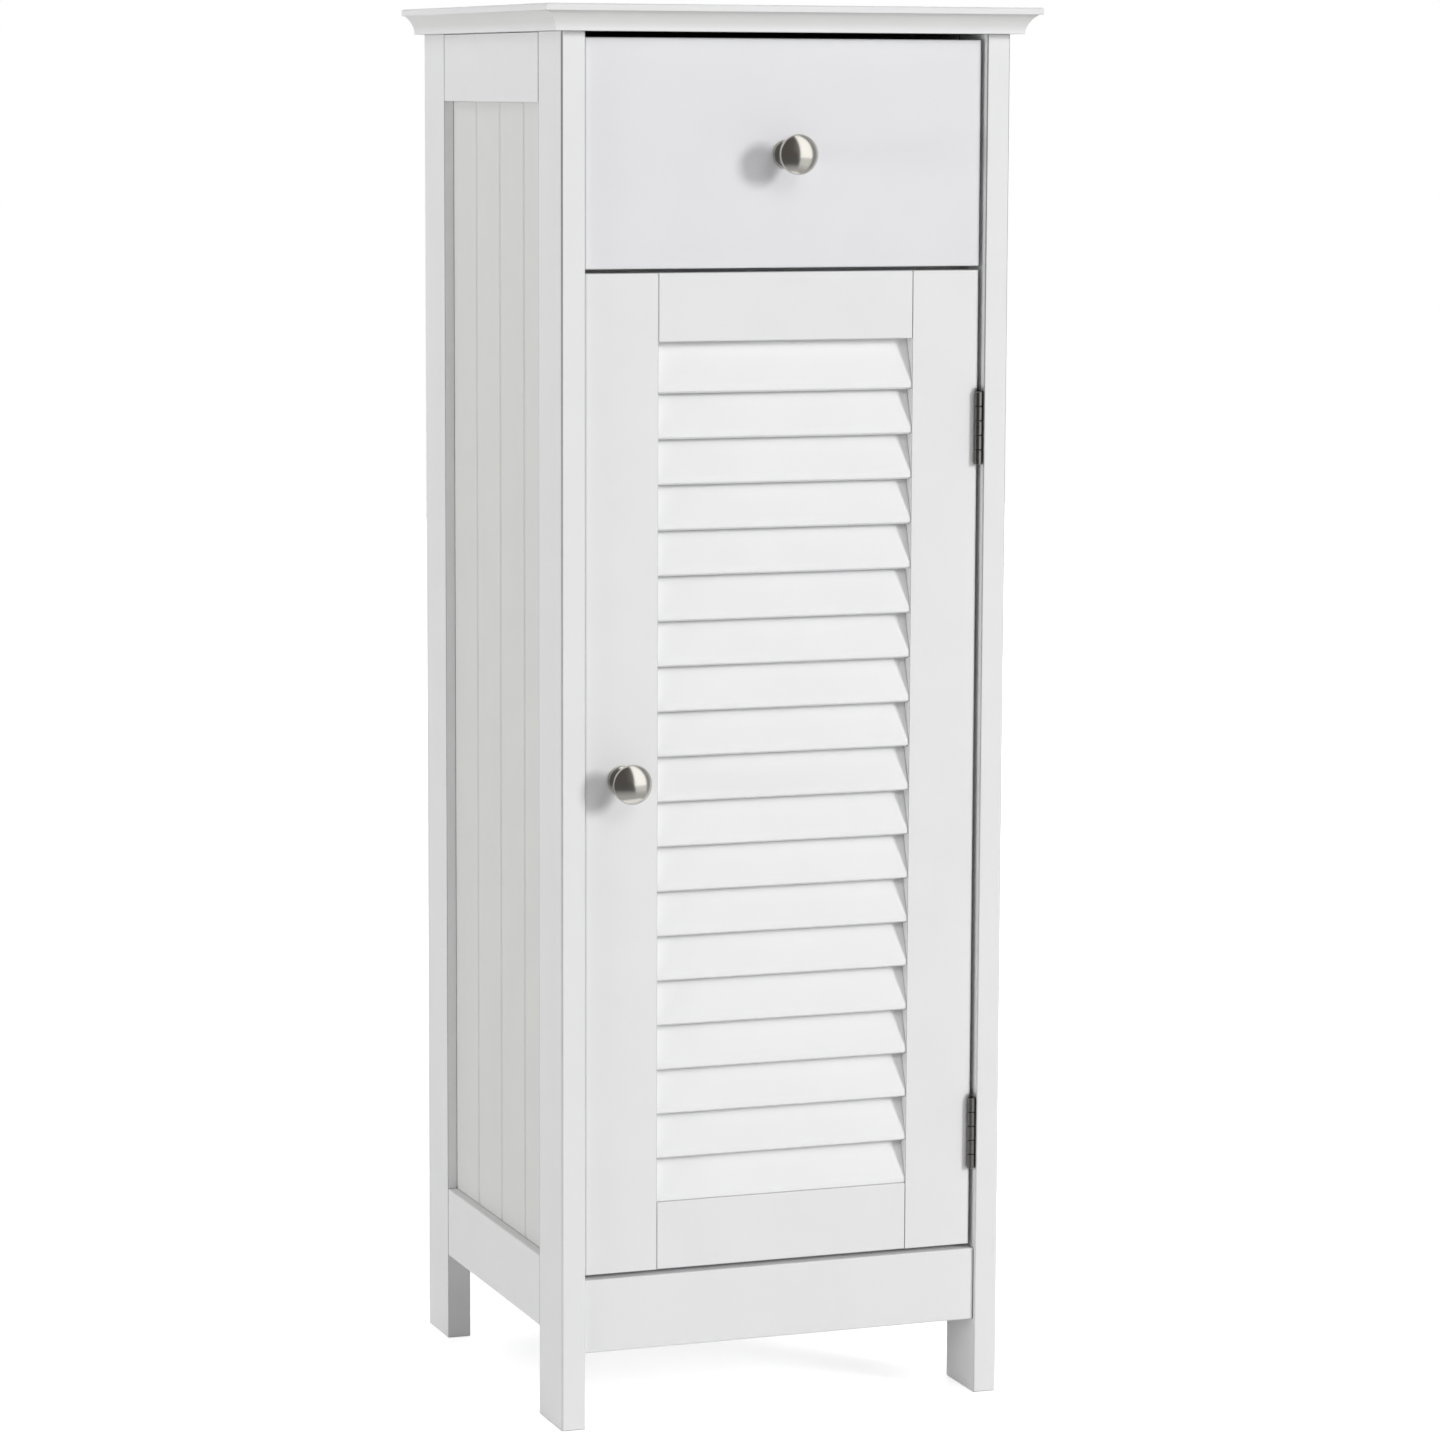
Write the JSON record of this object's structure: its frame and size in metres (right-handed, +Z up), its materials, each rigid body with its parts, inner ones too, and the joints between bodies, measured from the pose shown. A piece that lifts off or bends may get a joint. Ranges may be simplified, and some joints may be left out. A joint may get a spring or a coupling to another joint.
{
  "type": "louvred door cabinet",
  "caption": "Slim free-standing white floor cabinet with a moulded top, panelled sides, one drawer above one louvred door and round metal knobs.",
  "frame": {"origin": "on the floor, below the middle of the whole object's box, knobs included", "axes": "+Z up; the front with drawer and door faces -Y; +X to the right seen from the front"},
  "size_m": [0.32, 0.307, 0.87],
  "materials": {
    "white_lacquered_mdf": "satin white lacquer on MDF",
    "hardboard": "hardboard, smooth face",
    "drawer_box_board": "white foil on MDF",
    "runner_hardwood": "planed beech",
    "satin_nickel": "satin nickel plate",
    "nickel_plated_steel": "nickel plated",
    "zinc_plated_steel": "bright zinc plate",
    "catch_plastic": "white moulded plastic"
  },
  "bodies": {
    "cabinet": {"back_panel": "hardboard", "bottom_panel": "white_lacquered_mdf", "divider_panel": "white_lacquered_mdf", "front_apron": "white_lacquered_mdf", "front_left_leg": "white_lacquered_mdf", "front_right_leg": "white_lacquered_mdf", "hinge_frame_leaves": "nickel_plated_steel", "hinge_pins": "nickel_plated_steel", "left_bottom_rail": "white_lacquered_mdf", "left_drawer_runner": "runner_hardwood", "left_side_panel": "white_lacquered_mdf", "left_top_rail": "white_lacquered_mdf", "magnet_catch": "catch_plastic", "rear_left_leg": "white_lacquered_mdf", "rear_rail": "white_lacquered_mdf", "rear_right_leg": "white_lacquered_mdf", "right_bottom_rail": "white_lacquered_mdf", "right_drawer_runner": "runner_hardwood", "right_side_panel": "white_lacquered_mdf", "right_top_rail": "white_lacquered_mdf", "shelf": "white_lacquered_mdf", "shelf_pins": "zinc_plated_steel", "top_panel": "white_lacquered_mdf"},
    "drawer": {"drawer_back": "drawer_box_board", "drawer_bottom": "hardboard", "drawer_front": "white_lacquered_mdf", "drawer_knob": "satin_nickel", "drawer_left_side": "drawer_box_board", "drawer_right_side": "drawer_box_board"},
    "door": {"door_bottom_rail": "white_lacquered_mdf", "door_knob": "satin_nickel", "door_left_stile": "white_lacquered_mdf", "door_right_stile": "white_lacquered_mdf", "door_slat_01": "white_lacquered_mdf", "door_slat_02": "white_lacquered_mdf", "door_slat_03": "white_lacquered_mdf", "door_slat_04": "white_lacquered_mdf", "door_slat_05": "white_lacquered_mdf", "door_slat_06": "white_lacquered_mdf", "door_slat_07": "white_lacquered_mdf", "door_slat_08": "white_lacquered_mdf", "door_slat_09": "white_lacquered_mdf", "door_slat_10": "white_lacquered_mdf", "door_slat_11": "white_lacquered_mdf", "door_slat_12": "white_lacquered_mdf", "door_slat_13": "white_lacquered_mdf", "door_slat_14": "white_lacquered_mdf", "door_slat_15": "white_lacquered_mdf", "door_slat_16": "white_lacquered_mdf", "door_slat_17": "white_lacquered_mdf", "door_slat_18": "white_lacquered_mdf", "door_slat_19": "white_lacquered_mdf", "door_top_rail": "white_lacquered_mdf", "hinge_door_leaves": "nickel_plated_steel", "strike_plate": "zinc_plated_steel"}
  },
  "joints": [
    {"name": "drawer_slide", "type": "slide", "parent": "cabinet", "child": "drawer", "axis": [0, -1, 0], "range_m": [0, 0.19]},
    {"name": "door_hinge", "type": "hinge", "parent": "cabinet", "child": "door", "pos_m": [0.1272, -0.1281, 0.4], "axis": [0, 0, 1], "range_deg": [0, 170]}
  ]
}
